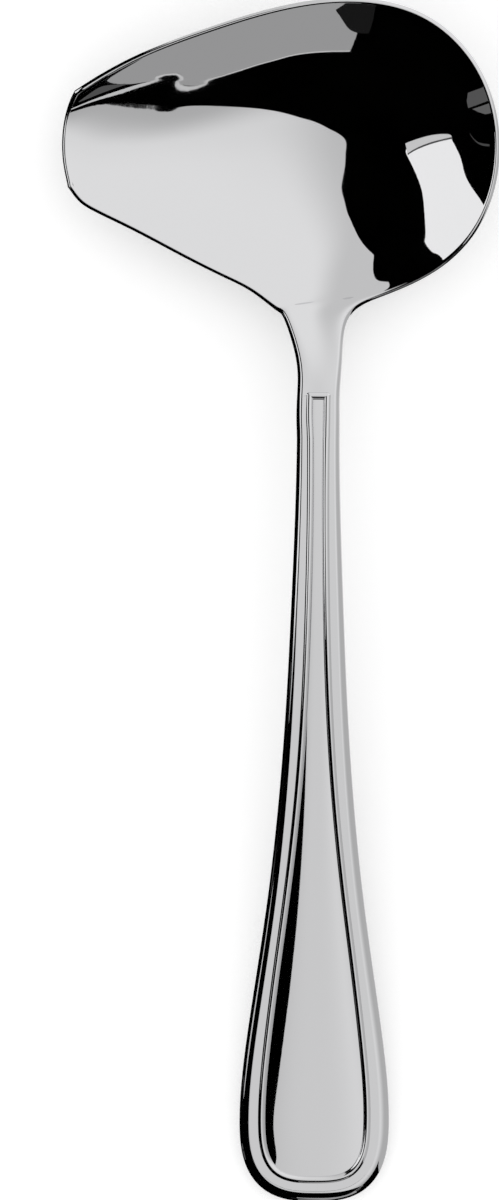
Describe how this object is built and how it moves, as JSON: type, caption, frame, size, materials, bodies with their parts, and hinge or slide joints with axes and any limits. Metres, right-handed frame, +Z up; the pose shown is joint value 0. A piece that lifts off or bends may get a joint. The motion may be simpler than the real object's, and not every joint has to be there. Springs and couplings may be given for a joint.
{
  "type": "sauce spoon",
  "caption": "One-piece metal sauce spoon with a wide bowl drawn out to a pouring lip on its left side, a slim neck and a long arched handle with a beaded border.",
  "frame": {"origin": "on the table, under the middle of the spoon's overall length and width", "axes": "+Y along the handle from the tail to the bowl, +X to the side opposite the pouring lip, +Z up out of the bowl"},
  "size_m": [0.0656, 0.1802, 0.0127],
  "materials": {
    "spoon": "polished"
  },
  "bodies": {
    "root": {"spoon": "spoon"}
  },
  "joints": []
}
